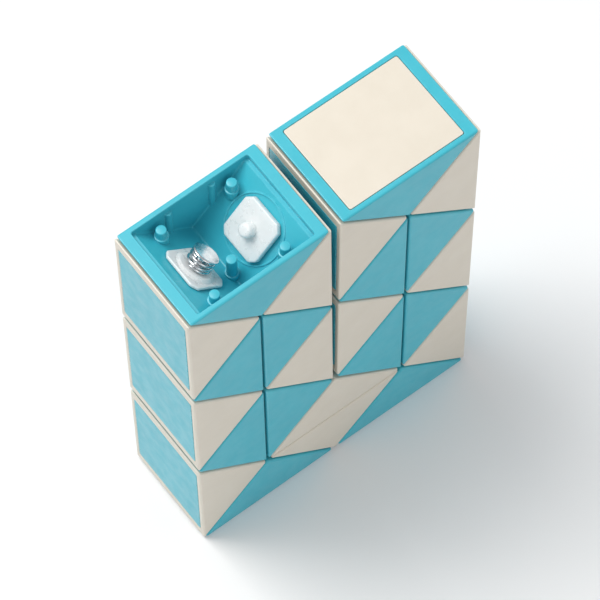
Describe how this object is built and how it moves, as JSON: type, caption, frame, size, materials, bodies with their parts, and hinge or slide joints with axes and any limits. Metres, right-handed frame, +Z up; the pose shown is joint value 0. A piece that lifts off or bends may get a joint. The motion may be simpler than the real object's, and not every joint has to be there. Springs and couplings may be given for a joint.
{
  "type": "folding snake puzzle",
  "caption": "Twisty snake puzzle: hollow two-colour wedges on spring-loaded pivots, folded into an upright block with one wedge left uncovered.",
  "frame": {"origin": "middle of the folded block's base, on the surface it stands on", "axes": "+Z up along the block's height, +X along its width to the right seen from the front, +Y through its depth from front to back"},
  "size_m": [0.0574, 0.0196, 0.0847],
  "materials": {
    "cyan_plastic": "satin moulded plastic, light blue",
    "cream_plastic": "satin moulded plastic, warm white",
    "white_nylon": "milky translucent moulded plastic",
    "steel": "plated steel"
  },
  "bodies": {
    "wedge_01": {"wedge_01_shell": "cyan_plastic", "wedge_01_cover": "cream_plastic"},
    "wedge_02": {"wedge_02_shell": "cream_plastic", "wedge_02_cover": "cyan_plastic"},
    "wedge_03": {"wedge_03_shell": "cyan_plastic", "wedge_03_cover": "cream_plastic"},
    "wedge_04": {"wedge_04_shell": "cream_plastic", "wedge_04_cover": "cyan_plastic"},
    "wedge_05": {"wedge_05_shell": "cyan_plastic", "wedge_05_cover": "cream_plastic"},
    "wedge_06": {"wedge_06_shell": "cream_plastic", "wedge_06_cover": "cyan_plastic"},
    "wedge_07": {"wedge_07_shell": "cyan_plastic", "wedge_07_cover": "cream_plastic"},
    "wedge_08": {"wedge_08_shell": "cream_plastic", "wedge_08_cover": "cyan_plastic"},
    "wedge_09": {"wedge_09_shell": "cyan_plastic", "wedge_09_cover": "cream_plastic"},
    "wedge_10": {"wedge_10_shell": "cream_plastic", "wedge_10_cover": "cyan_plastic"},
    "wedge_11": {"wedge_11_shell": "cyan_plastic", "wedge_11_cover": "cream_plastic"},
    "wedge_12": {"wedge_12_shell": "cream_plastic", "wedge_12_cover": "cyan_plastic"},
    "wedge_13": {"wedge_13_shell": "cyan_plastic", "wedge_13_cover": "cream_plastic"},
    "wedge_14": {"wedge_14_shell": "cream_plastic", "wedge_14_cover": "cyan_plastic"},
    "wedge_15": {"wedge_15_shell": "cyan_plastic", "wedge_15_cover": "cream_plastic"},
    "wedge_16": {"wedge_16_shell": "cream_plastic", "wedge_16_cover": "cyan_plastic"},
    "wedge_17": {"wedge_17_shell": "cyan_plastic", "wedge_17_cover": "cream_plastic"},
    "wedge_18": {"wedge_18_shell": "cream_plastic", "wedge_18_cover": "cyan_plastic"},
    "wedge_19": {"wedge_19_shell": "cyan_plastic", "wedge_19_cover": "cream_plastic"},
    "wedge_20": {"wedge_20_shell": "cream_plastic", "wedge_20_cover": "cyan_plastic"},
    "wedge_21": {"wedge_21_shell": "cyan_plastic", "wedge_21_cover": "cream_plastic"},
    "wedge_22": {"wedge_22_shell": "cream_plastic", "wedge_22_cover": "cyan_plastic", "pivot_22_bush": "white_nylon", "pivot_22_spring": "steel"},
    "wedge_23": {"wedge_23_shell": "cyan_plastic", "pivot_22_stud": "white_nylon", "pivot_22_rivet": "steel", "pivot_23_bush": "white_nylon", "pivot_23_spring": "steel"},
    "wedge_24": {"wedge_24_shell": "cream_plastic", "wedge_24_cover": "cyan_plastic", "pivot_23_stud": "white_nylon", "pivot_23_rivet": "steel"}
  },
  "joints": [
    {"name": "pivot_01", "type": "hinge", "parent": "wedge_02", "child": "wedge_01", "pos_m": [-0.02158, 0, 0.04934], "axis": [0.7019, 0, 0.7123], "range_deg": [-2.1, 2.1]},
    {"name": "pivot_02", "type": "hinge", "parent": "wedge_03", "child": "wedge_02", "pos_m": [-0.02147, 0, 0.0352], "axis": [0.7123, 0, -0.7019], "range_deg": [-3.1, 3.1]},
    {"name": "pivot_03", "type": "hinge", "parent": "wedge_04", "child": "wedge_03", "pos_m": [-0.02137, 0, 0.02106], "axis": [-0.7019, 0, -0.7123], "range_deg": [-2.3, 2.3]},
    {"name": "pivot_04", "type": "hinge", "parent": "wedge_05", "child": "wedge_04", "pos_m": [-0.02126, 0, 0.00692], "axis": [-0.7123, 0, 0.7019], "range_deg": [-3.1, 3.1]},
    {"name": "pivot_05", "type": "hinge", "parent": "wedge_05", "child": "wedge_06", "pos_m": [-0.00707, 0, 0.00707], "axis": [-0.7071, 0, -0.7071], "range_deg": [-2.4, 2.4]},
    {"name": "pivot_06", "type": "hinge", "parent": "wedge_06", "child": "wedge_07", "pos_m": [0.00712, 0, 0.00702], "axis": [-0.7019, 0, 0.7123], "range_deg": [-3, 3]},
    {"name": "pivot_07", "type": "hinge", "parent": "wedge_07", "child": "wedge_08", "pos_m": [0.02126, 0, 0.00692], "axis": [0.7123, 0, 0.7019], "range_deg": [-2.5, 2.5]},
    {"name": "pivot_08", "type": "hinge", "parent": "wedge_08", "child": "wedge_09", "pos_m": [0.02137, 0, 0.02106], "axis": [0.7019, 0, -0.7123], "range_deg": [-3, 3]},
    {"name": "pivot_09", "type": "hinge", "parent": "wedge_09", "child": "wedge_10", "pos_m": [0.02147, 0, 0.0352], "axis": [-0.7123, 0, -0.7019], "range_deg": [-2.4, 2.4]},
    {"name": "pivot_10", "type": "hinge", "parent": "wedge_10", "child": "wedge_11", "pos_m": [0.02158, 0, 0.04934], "axis": [-0.7019, 0, 0.7123], "range_deg": [-3, 3]},
    {"name": "pivot_11", "type": "hinge", "parent": "wedge_11", "child": "wedge_12", "pos_m": [0.02168, 0, 0.06349], "axis": [0.7123, 0, 0.7019], "range_deg": [-2.3, 2.3]},
    {"name": "pivot_12", "type": "hinge", "parent": "wedge_12", "child": "wedge_13", "pos_m": [0.02178, 0, 0.07763], "axis": [0.7019, 0, -0.7123], "range_deg": [-3.1, 3.1]},
    {"name": "pivot_13", "type": "hinge", "parent": "wedge_13", "child": "wedge_14", "pos_m": [0.00764, 0, 0.07773], "axis": [-0.7123, 0, -0.7019], "range_deg": [-2.1, 2.1]},
    {"name": "pivot_14", "type": "hinge", "parent": "wedge_14", "child": "wedge_15", "pos_m": [0.00754, 0, 0.06359], "axis": [-0.7019, 0, 0.7123], "range_deg": [-3, 3]},
    {"name": "pivot_15", "type": "hinge", "parent": "wedge_15", "child": "wedge_16", "pos_m": [0.00743, 0, 0.04945], "axis": [0.7123, 0, 0.7019], "range_deg": [-2.3, 2.3]},
    {"name": "pivot_16", "type": "hinge", "parent": "wedge_16", "child": "wedge_17", "pos_m": [0.00733, 0, 0.03531], "axis": [0.7019, 0, -0.7123], "range_deg": [-3, 3]},
    {"name": "pivot_17", "type": "hinge", "parent": "wedge_17", "child": "wedge_18", "pos_m": [0.00707, 0, 0.02122], "axis": [-0.7071, 0, -0.7071], "range_deg": [-2.4, 2.4]},
    {"name": "pivot_18", "type": "hinge", "parent": "wedge_18", "child": "wedge_19", "pos_m": [-0.00723, 0, 0.02116], "axis": [-0.7123, 0, 0.7019], "range_deg": [-3, 3]},
    {"name": "pivot_19", "type": "hinge", "parent": "wedge_19", "child": "wedge_20", "pos_m": [-0.00733, 0, 0.03531], "axis": [0.7019, 0, 0.7123], "range_deg": [-2.3, 2.3]},
    {"name": "pivot_20", "type": "hinge", "parent": "wedge_20", "child": "wedge_21", "pos_m": [-0.00743, 0, 0.04945], "axis": [0.7123, 0, -0.7019], "range_deg": [-3, 3]},
    {"name": "pivot_21", "type": "hinge", "parent": "wedge_21", "child": "wedge_22", "pos_m": [-0.00754, 0, 0.06359], "axis": [-0.7019, 0, -0.7123], "range_deg": [-2.1, 2.1]},
    {"name": "pivot_22", "type": "hinge", "parent": "wedge_22", "child": "wedge_23", "pos_m": [-0.00764, 0, 0.07773], "axis": [0.7123, 0, -0.7019], "continuous": true},
    {"name": "pivot_23", "type": "hinge", "parent": "wedge_23", "child": "wedge_24", "pos_m": [-0.02178, 0, 0.07763], "axis": [0.7019, 0, 0.7123], "range_deg": [-2.1, 2.1]}
  ]
}
